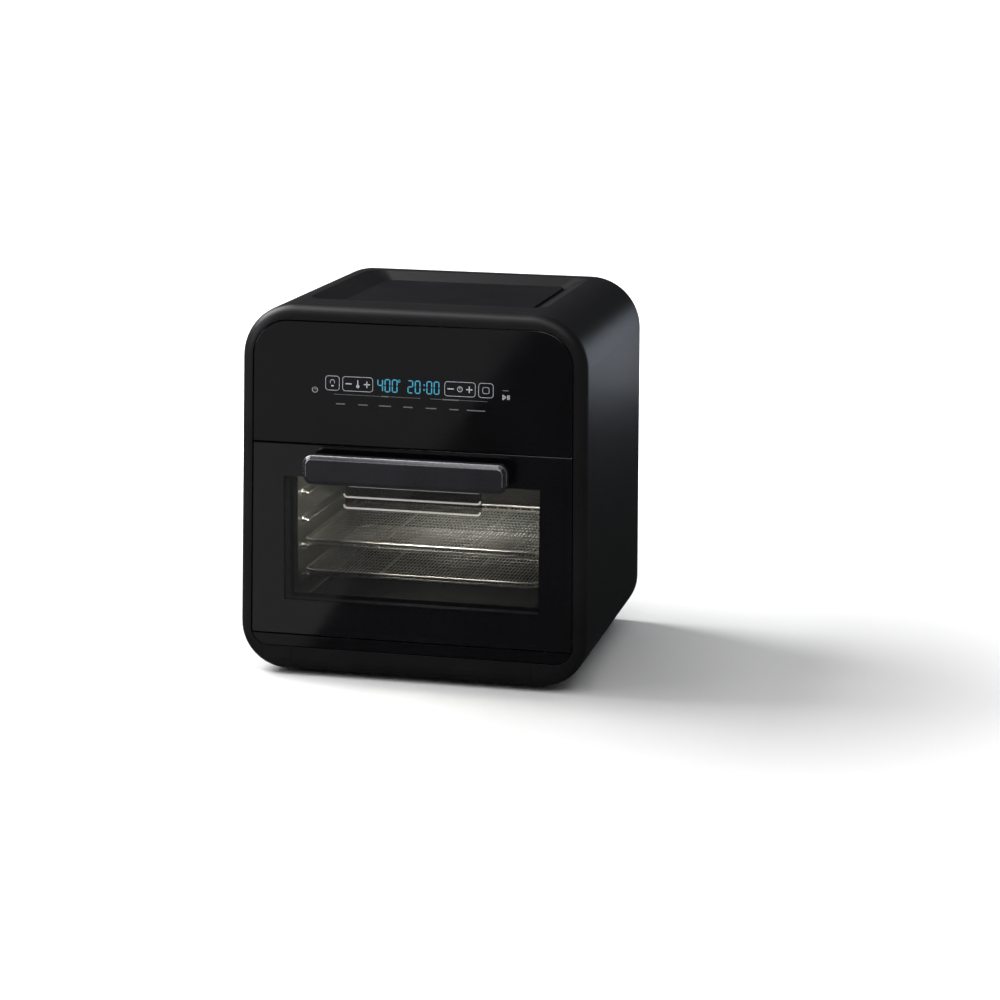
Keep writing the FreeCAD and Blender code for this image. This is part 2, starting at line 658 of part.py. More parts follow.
def door_seal():
    half, low, high, width = 138, 60, 218, 6
    outer = rounded_box(-half, half, depth(DOOR_THICK), depth(33.8), low, high, 14)
    inner = rounded_box(-half + width, half - width, depth(FRAME_BACK), depth(35),
                        low + width, high - width, 8)
    return outer.cut(inner)


def door_magnet():
    return box(125, 145, depth(14.5), depth(23.5), 219, 225)


def hinge_pins():
    return both_sides(hinge_cylinder(PIN_RADIUS, -PIN_GRIP, BUSH_LENGTH - 0.5))


def handle_screw_places():
    return [(x, (HANDLE_LOW + HANDLE_HIGH) / 2) for x in (-HANDLE_POST_X, HANDLE_POST_X)]


def handle_bar():
    front = depth(-HANDLE_REACH)
    bar = rounded_box(-HANDLE_HALF, HANDLE_HALF, front, front + HANDLE_THICK, HANDLE_LOW, HANDLE_HIGH, 9)
    return bar.makeFillet(5, edges_at(bar, "y", front) + edges_at(bar, "y", front + HANDLE_THICK))


def handle_posts():
    posts = []
    for x, z in handle_screw_places():
        post = rounded_box(x - 10, x + 10, depth(HANDLE_THICK - HANDLE_REACH), FRONT, z - 8, z + 8, 6)
        pilot = rod(2.6, (x, depth(HANDLE_THICK - HANDLE_REACH) + 3, z), (x, FRONT + 1, z))
        posts.append(post.cut(pilot))
    return Part.Compound(posts)


def handle_screws():
    return Part.Compound([screw((x, depth(GLASS + 3), z), (0, -1, 0), GLASS + 14.0, 2.5, 4.5, 2.5)
                          for x, z in handle_screw_places()])


def handle_bracket():
    """Bright pressed channel behind the glass, below the handle, with its ends turned up."""
    y0, y1 = depth(GLASS + 0.5), depth(GLASS + 8)
    web = rounded_box(-69, 69, y0, y0 + 1.2, 171, 197, 5)
    lips = [box(-66, 66, y0, y1, z, z + 1.4) for z in (171, 182)]
    return fuse(web, *lips)


# ---------------------------------------------------------------- trays
def tray_rim(low, height):
    outer = rounded_box(-TRAY_HALF, TRAY_HALF, depth(TRAY_FRONT), depth(TRAY_BACK), low, low + height,
                        TRAY_CORNER, "z")
    inner = rounded_box(-TRAY_HALF + TRAY_RIM, TRAY_HALF - TRAY_RIM,
                        depth(TRAY_FRONT) + TRAY_RIM, depth(TRAY_BACK) - TRAY_RIM,
                        low - 1, low + height + 1, TRAY_CORNER - TRAY_RIM, "z")
    return outer.cut(inner)


def mesh_tray(rail_z, height):
    """A tray with a stiff rim; its mesh is a thin slotted sheet."""
    low = rail_z + RAIL_RADIUS + 0.3
    sheet = rounded_box(-TRAY_HALF + 2, TRAY_HALF - 2, depth(TRAY_FRONT) + 2, depth(TRAY_BACK) - 2,
                        low, low + 1.2, TRAY_CORNER - 2, "z")
    slots = [rounded_box(x, x + 24, depth(y), depth(y) + 7, low - 1, low + 2, 3, "z")
             for x in range(-100, 90, 29) for y in range(54, 240, 14)]
    return fuse(tray_rim(low, height), sheet.cut(slots))


def upper_tray():
    return mesh_tray(RAIL_HEIGHTS[1], 7.0)


def lower_tray():
    return mesh_tray(RAIL_HEIGHTS[0], 6.0)


def drip_tray():
    low = CAVITY_LOW + 0.6
    floor = rounded_box(-114, 114, depth(TRAY_FRONT), depth(TRAY_BACK), low, low + 1.2, 10, "z")
    outer = rounded_box(-114, 114, depth(TRAY_FRONT), depth(TRAY_BACK), low, low + 7, 10, "z")
    inner = rounded_box(-112.8, 112.8, depth(TRAY_FRONT) + 1.2, depth(TRAY_BACK) - 1.2,
                        low - 1, low + 8, 8.8, "z")
    return fuse(floor, outer.cut(inner))


# ---------------------------------------------------------------- export
PIECES = {
    "outer_shell": outer_shell,
    "top_panel": top_panel,
    "base_pan": base_pan,
    "rear_cover": rear_cover,
    "cord_gland": cord_gland,
    "front_bezel": front_bezel,
    "hinge_bushes": hinge_bushes,
    "hinge_springs": hinge_springs,
    "lower_trim": lower_trim,
    "rubber_feet": rubber_feet,
    "base_screws": base_screws,
    "rear_screws": rear_screws,
    "control_glass": control_glass,
    "control_backing": control_backing,
    "display_module": display_module,
    "control_board": control_board,
    "cavity_left_wall": lambda: cavity_wall(-1),
    "cavity_right_wall": lambda: cavity_wall(1),
    "cavity_floor": cavity_floor,
    "cavity_ceiling": cavity_ceiling,
    "cavity_back_wall": cavity_back_wall,
    "cavity_front_flange": cavity_front_flange,
    "cavity_supports": cavity_supports,
    "fan_housing": fan_housing,
    "heating_coil": heating_coil,
    "coil_clips": coil_clips,
    "heater_guard": heater_guard,
    "lamp_holder": lamp_holder,
    "lamp_bulb": lamp_bulb,
    "lamp_lens": lamp_lens,
    "temperature_probe": temperature_probe,
    "heat_shield": heat_shield,
    "motor_bracket": motor_bracket,
    "fan_motor": fan_motor,
    "hot_air_fan": hot_air_fan,
    "motor_cooling_fan": motor_cooling_fan,
    "fan_shaft": fan_shaft,
    "fan_nut": fan_nut,
    "thermal_cutout": thermal_cutout,
    "power_board": power_board,
    "transformer": transformer,
    "relays": relays,
    "capacitors": capacitors,
    "terminal_block": terminal_block,
    "door_sensor": door_sensor,
    "door_glass": door_glass,
    "door_frame": door_frame,
    "door_inner_panel": door_inner_panel,
    "door_inner_glass": door_inner_glass,
    "door_seal": door_seal,
    "door_magnet": door_magnet,
    "hinge_pins": hinge_pins,
    "handle_bar": handle_bar,
    "handle_posts": handle_posts,
    "handle_screws": handle_screws,
    "handle_bracket": handle_bracket,
    "upper_tray": upper_tray,
    "lower_tray": lower_tray,
    "drip_tray": drip_tray,
}

os.makedirs("parts", exist_ok=True)
for name, make in PIECES.items():
    shape = make()
    if not shape.isValid():
        raise ValueError(name + " is not a valid shape")
    shape.exportStep("parts/" + name + ".step")
    print(name, len(shape.Solids), round(shape.Volume / 1000, 2), "cm3")
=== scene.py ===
"""Looks of the countertop oven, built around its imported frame. Metres, +Z up, the front faces -Y."""

import json
import math

import bmesh
import bpy
from mathutils import Matrix, Vector


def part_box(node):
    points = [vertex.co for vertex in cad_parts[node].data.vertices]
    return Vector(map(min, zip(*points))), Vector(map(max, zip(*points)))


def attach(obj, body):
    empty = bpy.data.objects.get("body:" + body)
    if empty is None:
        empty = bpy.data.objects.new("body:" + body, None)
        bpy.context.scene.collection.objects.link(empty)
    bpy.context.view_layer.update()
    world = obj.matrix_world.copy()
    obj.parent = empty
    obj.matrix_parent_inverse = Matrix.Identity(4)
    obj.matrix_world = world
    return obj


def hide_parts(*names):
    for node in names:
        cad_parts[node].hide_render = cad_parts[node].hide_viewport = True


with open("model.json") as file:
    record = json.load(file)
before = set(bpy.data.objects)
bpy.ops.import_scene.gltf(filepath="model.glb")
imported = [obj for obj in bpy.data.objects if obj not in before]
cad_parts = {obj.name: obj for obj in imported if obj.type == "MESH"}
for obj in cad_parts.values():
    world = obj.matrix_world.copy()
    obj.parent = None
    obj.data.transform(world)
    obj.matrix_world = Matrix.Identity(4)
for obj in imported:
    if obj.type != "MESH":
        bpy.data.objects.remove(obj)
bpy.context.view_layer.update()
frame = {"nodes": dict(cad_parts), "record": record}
record = frame["record"]

# ---------------------------------------------------------------- places read from the frame
FACE_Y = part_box("door_glass")[0].y
DISPLAY_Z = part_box("display_module")[0].z
CAVITY_LOW, CAVITY_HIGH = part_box("cavity_floor")[1].z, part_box("cavity_ceiling")[0].z
FOOT_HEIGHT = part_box("rubber_feet")[1].z


# ---------------------------------------------------------------- materials
NOISE_LOW, NOISE_HIGH = 0.3, 0.7      # nearly all of a noise texture lies between these
BUMP_HEIGHT = 0.0002


def shader(name):
    """A new material with its nodes, links and Principled shader."""
    made = bpy.data.materials.new(name)
    made.use_nodes = True
    tree = made.node_tree
    return made, tree.nodes, tree.links, tree.nodes["Principled BSDF"]


def place_node(nodes, links, stretch):
    """Object coordinates in metres, stretched along the axes."""
    where = nodes.new("ShaderNodeTexCoord")
    mapping = nodes.new("ShaderNodeMapping")
    mapping.inputs["Scale"].default_value = stretch
    links.new(where.outputs["Object"], mapping.inputs["Vector"])
    return mapping


def noise(nodes, links, place, scale, detail=4.0):
    """A noise texture whose scale counts features in a metre."""
    made = nodes.new("ShaderNodeTexNoise")
    made.inputs["Scale"].default_value = scale
    made.inputs["Detail"].default_value = detail
    links.new(place.outputs["Vector"], made.inputs["Vector"])
    return made


def map_range(nodes, from_least, from_most, to_least, to_most):
    """A Map Range node with these limits."""
    made = nodes.new("ShaderNodeMapRange")
    made.inputs["From Min"].default_value = from_least
    made.inputs["From Max"].default_value = from_most
    made.inputs["To Min"].default_value = to_least
    made.inputs["To Max"].default_value = to_most
    return made


def finish(name, light, dark, rough, metallic=0.0, blotch=18.0, grain=900.0, bump=0.08,
           stretch=(1, 1, 1), **sockets):
    """A surface whose colour, roughness and bump all vary.

    light and dark are the two colours that blotches mix, rough is (least, most), blotch and grain are
    the scales of the coarse and fine noise, and sockets are more inputs of the shader, by name.
    """
    made, nodes, links, surface = shader(name)
    place = place_node(nodes, links, stretch)
    broad = noise(nodes, links, place, blotch)
    ramp = nodes.new("ShaderNodeValToRGB")
    stops = zip(ramp.color_ramp.elements, (NOISE_LOW, NOISE_HIGH), (dark, light))
    for stop, position, colour in stops:
        stop.position = position
        stop.color = (*colour, 1)
    links.new(broad.outputs["Fac"], ramp.inputs["Fac"])
    links.new(ramp.outputs["Color"], surface.inputs["Base Color"])
    fine = noise(nodes, links, place, grain, 2.0)
    spread = map_range(nodes, NOISE_LOW, NOISE_HIGH, *rough)
    links.new(fine.outputs["Fac"], spread.inputs["Value"])
    links.new(spread.outputs["Result"], surface.inputs["Roughness"])
    raised = nodes.new("ShaderNodeBump")
    raised.inputs["Strength"].default_value = bump
    raised.inputs["Distance"].default_value = BUMP_HEIGHT
    links.new(fine.outputs["Fac"], raised.inputs["Height"])
    links.new(raised.outputs["Normal"], surface.inputs["Normal"])
    surface.inputs["Metallic"].default_value = metallic
    for socket, value in sockets.items():
        surface.inputs[socket.replace("_", " ")].default_value = value
    return made


def glowing(name, colour, strength):
    """A print that gives off a little light of its own colour, or an edge whose glow is a painted
    highlight.
    """
    made = finish(name, colour, tuple(0.7 * part for part in colour), (0.3, 0.5), blotch=300.0)
    surface = made.node_tree.nodes["Principled BSDF"]
    surface.inputs["Emission Color"].default_value = (*colour, 1)
    surface.inputs["Emission Strength"].default_value = strength
    return made


# slot: (lighter colour, darker colour, (least, most) roughness, the rest of what finish takes)
SLOTS = {
    "casing_black": (
        (0.0105, 0.0105, 0.0115), (0.008, 0.008, 0.009), (0.34, 0.46),
        dict(grain=1400.0, bump=0.25, Specular_IOR_Level=0.2)),
    "gloss_black_glass": (
        (0.0035, 0.0035, 0.0045), (0.0025, 0.0025, 0.003), (0.04, 0.08),
        dict(grain=40.0, bump=0.01, Specular_IOR_Level=0.65)),
    "clear_glass": (
        (0.012, 0.015, 0.014), (0.008, 0.010, 0.010), (0.01, 0.03),
        dict(grain=30.0, bump=0.01, Alpha=0.1)),
    "handle_black": (
        (0.018, 0.018, 0.022), (0.014, 0.014, 0.017), (0.2, 0.28),
        dict(grain=1600.0, bump=0.1, Specular_IOR_Level=0.55)),
    "inner_black": (
        (0.012, 0.012, 0.013), (0.008, 0.008, 0.009), (0.5, 0.7),
        dict(bump=0.3, Specular_IOR_Level=0.12)),
    "stainless": (
        (0.46, 0.46, 0.42), (0.36, 0.36, 0.33), (0.26, 0.42),
        dict(metallic=1.0, blotch=6.0, grain=160.0, bump=0.1, stretch=(1, 1, 9), Anisotropic=0.4)),
    "zinc_steel": (
        (0.55, 0.56, 0.58), (0.4, 0.41, 0.43), (0.32, 0.5),
        dict(metallic=1.0, blotch=70.0, bump=0.1)),
    "tray_wire": (
        (0.70, 0.69, 0.65), (0.54, 0.53, 0.49), (0.28, 0.42),
        dict(metallic=1.0, blotch=40.0, bump=0.1)),
    "black_enamel": (
        (0.016, 0.016, 0.017), (0.010, 0.010, 0.011), (0.3, 0.45),
        dict(blotch=60.0, grain=500.0, bump=0.2)),
    "element_sheath": (
        (0.22, 0.2, 0.18), (0.12, 0.1, 0.09), (0.4, 0.6),
        dict(metallic=1.0, blotch=60.0, bump=0.3)),
    "screw_steel": (
        (0.6, 0.6, 0.6), (0.46, 0.46, 0.47), (0.2, 0.34),
        dict(metallic=1.0, blotch=200.0, bump=0.1)),
    "fan_aluminium": (
        (0.66, 0.67, 0.68), (0.52, 0.53, 0.55), (0.28, 0.42),
        dict(metallic=1.0, blotch=30.0, bump=0.15)),
    "motor_steel": (
        (0.24, 0.25, 0.27), (0.16, 0.17, 0.19), (0.34, 0.5),
        dict(metallic=0.6, blotch=50.0, bump=0.2)),
    "board_green": (
        (0.03, 0.17, 0.07), (0.02, 0.12, 0.05), (0.25, 0.4),
        dict(blotch=120.0, grain=300.0, bump=0.2)),
    "component_dark": (
        (0.05, 0.06, 0.1), (0.03, 0.035, 0.06), (0.3, 0.45),
        dict(blotch=80.0, bump=0.15)),
    "display_dark": (
        (0.01, 0.03, 0.04), (0.006, 0.02, 0.03), (0.2, 0.3),
        dict(blotch=60.0, bump=0.05)),
    "foot_rubber": (
        (0.02, 0.02, 0.02), (0.012, 0.012, 0.012), (0.7, 0.85),
        dict(blotch=60.0, bump=0.4)),
    "bush_nylon": (
        (0.7, 0.69, 0.65), (0.6, 0.59, 0.55), (0.4, 0.5),
        dict(blotch=100.0)),
}
MATERIALS = {slot: finish(slot, light, dark, rough, **rest)
             for slot, (light, dark, rough, rest) in SLOTS.items()}

# Materials of single pieces, in place of that of their slot.
DOOR_GLASS = finish("tinted_door_glass", (0.0035, 0.0035, 0.0045), (0.0025, 0.0025, 0.003), (0.02, 0.05),
                    grain=40.0, bump=0.01, Specular_IOR_Level=1.0)
TOP_SKIN = finish("top_panel_black", (0.010, 0.010, 0.012), (0.007, 0.007, 0.008), (0.42, 0.55),
                  grain=1100.0, bump=0.2, Specular_IOR_Level=0.06)
ICON_WHITE = glowing("icon_white", (0.42, 0.44, 0.48), 0.35)
LABEL_GREY = glowing("label_grey", (0.13, 0.135, 0.15), 0.25)
DIGIT_BLUE = glowing("digit_blue", (0.035, 0.24, 0.36), 0.75)
# Painted highlight: the glow of the handle bracket's rods stands in for the cavity lamp's light falling on
# them.
PAINTED_GLINT_EDGE = glowing("edge_painted_highlight", (0.84, 0.80, 0.77), 1.25)
# Painted shade: the cavity's back wall gets a darker steel than its side walls, for the shade it lies in.
BACK_WALL_SHADE_STEEL = finish("back_wall_painted_shade_steel", (0.10, 0.10, 0.095), (0.06, 0.06, 0.057), (0.45, 0.6),
                    metallic=0.7, blotch=14.0, grain=300.0, bump=0.15)
# Painted highlight: bright metal on the upper arrises of the handle grip only, where the highlight lines
# fall.
HANDLE_ARRIS_HIGHLIGHT = finish("handle_arris_painted_highlight", (0.50, 0.50, 0.55), (0.40, 0.40, 0.44), (0.24, 0.34),
                     metallic=0.85, blotch=30.0, bump=0.05)
SPRING_BLACK = finish("spring_black_oxide", (0.014, 0.013, 0.012), (0.009, 0.008, 0.008), (0.45, 0.6),
                      blotch=90.0, bump=0.2, Specular_IOR_Level=0.3)
BACKING = finish("handle_backing_bronze", (0.03, 0.026, 0.026), (0.02, 0.017, 0.017), (0.3, 0.4),
                 metallic=0.6, blotch=60.0, bump=0.05, Alpha=0.35)


def math_node(nodes, links, operation, *inputs):
    """A Math node fed with sockets or plain numbers; gives its output socket."""
    made = nodes.new("ShaderNodeMath")
    made.operation = operation
    for socket, value in zip(made.inputs, inputs):
        if isinstance(value, (int, float)):
            socket.default_value = value
        else:
            links.new(value, socket)
    return made.outputs["Value"]


def clear_window(material, half_width, low, high, clearness):
    """Leaves a sheet of glass see-through inside an upright rectangle and black outside it."""
    half_edge = 0.0004
    nodes, links = material.node_tree.nodes, material.node_tree.links
    where = nodes.new("ShaderNodeTexCoord")
    split = nodes.new("ShaderNodeSeparateXYZ")
    links.new(where.outputs["Object"], split.inputs["Vector"])
    sideways = math_node(nodes, links, "ABSOLUTE", split.outputs["X"])
    sideways = math_node(nodes, links, "SUBTRACT", sideways, half_width)
    upright = math_node(nodes, links, "SUBTRACT", split.outputs["Z"], (low + high) / 2)
    upright = math_node(nodes, links, "ABSOLUTE", upright)
    upright = math_node(nodes, links, "SUBTRACT", upright, (high - low) / 2)
    outside = math_node(nodes, links, "MAXIMUM", sideways, upright)
    spread = map_range(nodes, -half_edge, half_edge, 1.0 - clearness, 1.0)
    links.new(outside, spread.inputs["Value"])
    links.new(spread.outputs["Result"], nodes["Principled BSDF"].inputs["Alpha"])


def dress_cad_nodes():
    """Gives each CAD node the material of its slot, or its own where it has one."""
    pane_low, pane_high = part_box("door_inner_glass")
    sill, clearness = 0.0015, 0.58
    clear_window(DOOR_GLASS, pane_high.x, pane_low.z + sill, pane_high.z, clearness)
    # The cavity's back wall takes its darker steel as painted shade.
    own = {"door_glass": DOOR_GLASS, "top_panel": TOP_SKIN, "hinge_springs": SPRING_BLACK,
           "cavity_back_wall": BACK_WALL_SHADE_STEEL}
    for part in record["subparts"]:
        node = part["node"]
        data = frame["nodes"][node].data
        data.materials.clear()
        data.materials.append(own.get(node) or MATERIALS[part["material_slot"]])


# ---------------------------------------------------------------- mesh helpers
SHARP_ANGLE = math.radians(35)


def piece(name, body, slot, pile, material=None, smooth=True):
    """A new visible piece that rides on a body."""
    mesh = bpy.data.meshes.new(name)
    mesh.from_pydata([tuple(v) for v in pile.verts], [], pile.faces)
    mesh.validate()
    tidy = bmesh.new()
    tidy.from_mesh(mesh)
    bmesh.ops.recalc_face_normals(tidy, faces=tidy.faces)
    tidy.to_mesh(mesh)
    tidy.free()
    if smooth:
        mesh.shade_smooth()
        mesh.set_sharp_from_angle(angle=SHARP_ANGLE)
    made = bpy.data.objects.new(name, mesh)
    bpy.context.scene.collection.objects.link(made)
    mesh.materials.append(material or MATERIALS[slot])
    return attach(made, body)


class Pile:
    """Vertices and faces of several closed shapes that make one piece."""

    def __init__(self):
        self.verts = []
        self.faces = []

    def loft(self, loops, closed=False):
        """Joins loops of equal length in order; the ends are capped unless the last meets the first."""
        start = len(self.verts)
        size = len(loops[0])
        for loop in loops:
            self.verts.extend(loop)
        rows = len(loops)
        for row in range(rows if closed else rows - 1):
            here, there = start + row * size, start + (row + 1) % rows * size
            for i in range(size):
                j = (i + 1) % size
                self.faces.append((here + i, here + j, there + j, there + i))
        if not closed:
            self.faces.append(tuple(start + i for i in reversed(range(size))))
            self.faces.append(tuple(start + (rows - 1) * size + i for i in range(size)))

    def tube(self, points, radius, sides=8, closed=False):
        """A round wire along points."""
        count = len(points)
        turns = [2 * math.pi * k / sides for k in range(sides)]
        loops = []
        up = Vector((0, 0, 1))
        for i, point in enumerate(points):
            before = points[i - 1] if i or closed else points[i]
            after = points[(i + 1) % count] if i < count - 1 or closed else points[i]
            along = (Vector(after) - Vector(before)).normalized()
            if abs(along.z) > 0.9:
                up = Vector((0, 1, 0))
            across = along.cross(up).normalized()
            lift = across.cross(along)
            loops.append([Vector(point) + across * (radius * math.cos(turn))
                          + lift * (radius * math.sin(turn)) for turn in turns])
        self.loft(loops, closed)

    def slab(self, outline, y0, y1):
        """A flat shape in the XZ plane with a thickness along Y."""
        self.loft([[(x, y, z) for x, z in outline] for y in (y0, y1)])


def rounded_rectangle(x0, x1, z0, z1, radius, steps=6):
    """(x, z) points round a rectangle with rounded corners."""
    points = []
    for cx, cz, start in ((x1 - radius, z1 - radius, 0), (x0 + radius, z1 - radius, 90),
                          (x0 + radius, z0 + radius, 180), (x1 - radius, z0 + radius, 270)):
        for k in range(steps + 1):
            angle = math.radians(start + 90 * k / steps)
            points.append((cx + radius * math.cos(angle), cz + radius * math.sin(angle)))
    return points


# ---------------------------------------------------------------- control panel graphics
# Sideways places are from the middle of the panel, heights from the foot of the display module.
PRINT_Y = FACE_Y - 0.00012
PRINT_THICK = 0.0001
ICON_LOW, ICON_HIGH = DISPLAY_Z + 0.0176, DISPLAY_Z + 0.0319
ICON_MID = (ICON_LOW + ICON_HIGH) / 2
POWER_X, POWER_Z = -0.0960, DISPLAY_Z + 0.0175
START_X, START_Z = 0.0905, DISPLAY_Z + 0.0190
START_MARK_Z = DISPLAY_Z + 0.0255
RULE_Z = DISPLAY_Z + 0.0140
NAME_Z = DISPLAY_Z + 0.0047
LINE, THIN, BOLD, DASH = 0.00042, 0.0006, 0.0012, 0.0011
SEGMENTS = {"0": "abcdef", "2": "abged", "4": "fgbc"}


def printed(pile, outline):
    """A flat print on the glass, from its (x, z) outline."""
    pile.slab(outline, PRINT_Y, PRINT_Y + PRINT_THICK)


def stroke(pile, x0, z0, x1, z1, width=LINE):
    """A straight printed line."""
    along = Vector((x1 - x0, z1 - z0)).normalized() * (width / 2)
    side = Vector((-along.y, along.x))
    start, end = Vector((x0, z0)), Vector((x1, z1))
    corners = [start - along + side, start - along - side, end + along - side, end + along + side]
    printed(pile, [tuple(c) for c in corners])


def arc(pile, cx, cz, radius, start, end, width=LINE, steps=18):
    """A printed arc, in degrees anticlockwise from +X."""
    angles = [math.radians(start + (end - start) * k / steps) for k in range(steps + 1)]
    for a, b in zip(angles, angles[1:]):
        inner, outer = radius - width / 2, radius + width / 2
        printed(pile, [(cx + inner * math.cos(a), cz + inner * math.sin(a)),
                       (cx + outer * math.cos(a), cz + outer * math.sin(a)),
                       (cx + outer * math.cos(b), cz + outer * math.sin(b)),
                       (cx + inner * math.cos(b), cz + inner * math.sin(b))])


def frame_line(pile, x0, x1, z0, z1, radius, width=LINE):
    """A printed rounded rectangle, drawn as a line."""
    outer = rounded_rectangle(x0, x1, z0, z1, radius)
    inner = rounded_rectangle(x0 + width, x1 - width, z0 + width, z1 - width, radius - width)
    count = len(outer)
    for i in range(count):
        j = (i + 1) % count
        printed(pile, [outer[i], outer[j], inner[j], inner[i]])


def seven_segment(pile, sign, x, z, width, height):
    """One digit made of bars with pointed ends."""
    bar, gap_share = 0.0011, 0.4
    mid, top, right = z + height / 2, z + height, x + width
    ends = {
        "a": (x, top, right, top),
        "b": (right, mid, right, top),
        "c": (right, z, right, mid),
        "d": (x, z, right, z),
        "e": (x, z, x, mid),
        "f": (x, mid, x, top),
        "g": (x, mid, right, mid),
    }
    for name in SEGMENTS[sign]:
        x0, z0, x1, z1 = ends[name]
        start, end = Vector((x0, z0)), Vector((x1, z1))
        along = (end - start).normalized() * (bar / 2)
        side = Vector((-along.y, along.x))
        start, end = start + along * gap_share, end - along * gap_share
        corners = (start, start + along + side, end - along + side,
                   end, end - along - side, start + along - side)
        printed(pile, [tuple(c) for c in corners])


def display_digits():
    """A temperature with its degree ring, and a time with its colon."""
    pitch, width, height = 0.0072, 0.0046, 0.0118
    degree_x, degree_radius, colon_x, dot_half = -0.0121, 0.0011, 0.0129, 0.0002
    low = ICON_MID - height / 2
    digits = Pile()
    for text, x in (("400", -0.0330), ("20", -0.0030), ("00", 0.0157)):
        for i, sign in enumerate(text):
            seven_segment(digits, sign, x + pitch * i, low, width, height)
    arc(digits, degree_x, low + height - 0.001, degree_radius, 0, 360, THIN)
    for share in (0.3, 0.7):
        dot_z = low + height * share
        stroke(digits, colon_x, dot_z - dot_half, colon_x, dot_z + dot_half, BOLD)
    piece("display_digits", "casing", "display_dark", digits, DIGIT_BLUE, smooth=False)


def control_icons():
    """Framed keys for the lamp, heat, time and turning, and plain signs for power and start."""
    icons = Pile()
    for x0, x1 in ((-0.0855, -0.0714), (-0.0684, -0.0379), (0.0330, 0.0635), (0.0664, 0.0811)):
        frame_line(icons, x0, x1, ICON_LOW, ICON_HIGH, 0.003)

    sign_half, sign_width = 0.0026, 0.001
    for x in (-0.0623, 0.0391, -0.0440, 0.0574):
        stroke(icons, x - sign_half, ICON_MID, x + sign_half, ICON_MID, sign_width)
    for x in (-0.0440, 0.0574):
        stroke(icons, x, ICON_MID - sign_half, x, ICON_MID + sign_half, sign_width)

    lamp_x, heat_x, clock_x, turn_x = -0.0785, -0.0531, 0.0482, 0.07375
    arc(icons, lamp_x, ICON_MID + 0.0012, 0.0022, -40, 220)
    stroke(icons, lamp_x - 0.0007, ICON_MID - 0.0026, lamp_x + 0.0007, ICON_MID - 0.0026, BOLD)
    stroke(icons, heat_x, ICON_MID - 0.001, heat_x, ICON_MID + 0.0034, 0.0009)
    arc(icons, heat_x, ICON_MID - 0.0022, 0.001, 0, 360, BOLD)
    arc(icons, clock_x, ICON_MID, 0.0024, 0, 360, THIN)
    stroke(icons, clock_x, ICON_MID, clock_x, ICON_MID + 0.0014, 0.0005)
    frame_line(icons, turn_x - 0.00335, turn_x + 0.00335, ICON_MID - 0.0032, ICON_MID + 0.0032, 0.0018)

    arc(icons, POWER_X, POWER_Z, 0.0026, 120, 420)
    stroke(icons, POWER_X, POWER_Z + 0.0001, POWER_X, POWER_Z + 0.0029)
    bar, half, length = 0.0008, 0.0021, 0.0028
    for lean in (-1, 1):
        stroke(icons, START_X, START_Z + half * lean, START_X + length, START_Z, bar)
    stroke(icons, START_X, START_Z - half, START_X, START_Z + half, bar)
    for x in (START_X + 0.0047, START_X + 0.0061):
        stroke(icons, x, START_Z - 0.0018, x, START_Z + 0.0018, bar)
    piece("control_icons", "casing", "display_dark", icons, ICON_WHITE, smooth=False)


def control_labels():
    """Rules and dashes where words would be."""
    labels = Pile()
    for x0, x1 in ((-0.077, -0.031), (-0.021, 0.009), (0.019, 0.030), (0.049, 0.075)):
        stroke(labels, x0, RULE_Z, x1, RULE_Z, 0.0004)
    for x0, x1 in ((-0.0295, -0.0225), (0.0315, 0.0475)):
        stroke(labels, x0, RULE_Z, x1, RULE_Z, DASH)
    names = ((-0.0704, 0.004), (-0.0478, 0.0042), (-0.0259, 0.0055), (-0.0030, 0.004),
             (0.0198, 0.0048), (0.0426, 0.004), (0.0642, 0.0085))
    for x, half in names:
        stroke(labels, x - half, NAME_Z, x + half, NAME_Z, DASH)
    stroke(labels, START_X, START_MARK_Z, START_X + 0.005, START_MARK_Z, 0.0008)
    piece("control_labels", "casing", "display_dark", labels, LABEL_GREY, smooth=False)


# ---------------------------------------------------------------- cavity side walls
RAIL_REACH = 0.0068
RAIL_HALF = 0.0048
RAIL_END_GAP = 0.012
SHEET_THICK = 0.0006


def rail_heights():
    """Two rails just under the trays, and two empty ones above them."""
    below = 0.0033
    lowest, second = (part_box(tray)[0].z - below for tray in ("lower_tray", "upper_tray"))
    return lowest, second, second + 0.026, second + 0.054


def cavity_side(name):
    """A thin wall pressed into rails with rounded ends, inside the box of its CAD wall."""
    low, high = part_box(name)
    skin, inward = (high.x, -1) if low.x > 0 else (low.x, 1)
    first, last = low.y + RAIL_END_GAP + RAIL_HALF, high.y - RAIL_END_GAP - RAIL_HALF
    heights = rail_heights()

    def pressed(y, z):
        """How far the sheet stands in from its flat, at a place."""
        past = max(first - y, y - last, 0.0)
        off = min(math.hypot(past, z - centre) for centre in heights) / RAIL_HALF
        return RAIL_REACH * (0.5 + 0.5 * math.cos(math.pi * min(off, 1.0))) ** 0.7

    ys = [low.y + (high.y - low.y) * i / 150 for i in range(151)]
    zs = [low.z + (high.z - low.z) * i / 120 for i in range(121)]
    pile = Pile()
    rows = []
    for y in ys:
        front = [(skin + inward * (SHEET_THICK + pressed(y, z)), y, z) for z in zs]
        back = [(skin + inward * pressed(y, z), y, z) for z in reversed(zs)]
        rows.append(front + back)
    pile.loft(rows)
    made = piece(name + "_pressed", "casing", "stainless", pile)
    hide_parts(name)


# ---------------------------------------------------------------- wire trays
def flat_loop(x0, x1, y0, y1, z, radius, steps=8):
    """Points round a level rectangle with rounded corners."""
    return [(x, y, z) for x, y in rounded_rectangle(x0, x1, y0, y1, radius, steps)]


def corner_inset(place, least, most, corner):
    """How far a rounded corner draws a wire's end in, for a wire at this place between two sides."""
    near = corner - min(place - least, most - place)
    if near <= 0:
        return 0.0
    return corner - math.sqrt(corner * corner - near * near)


def steps_between(least, most, pitch):
    """Evenly spaced places from one side to the other, about a pitch apart."""
    count = round((most - least) / pitch)
    return [least + (most - least) * i / count for i in range(1, count)]


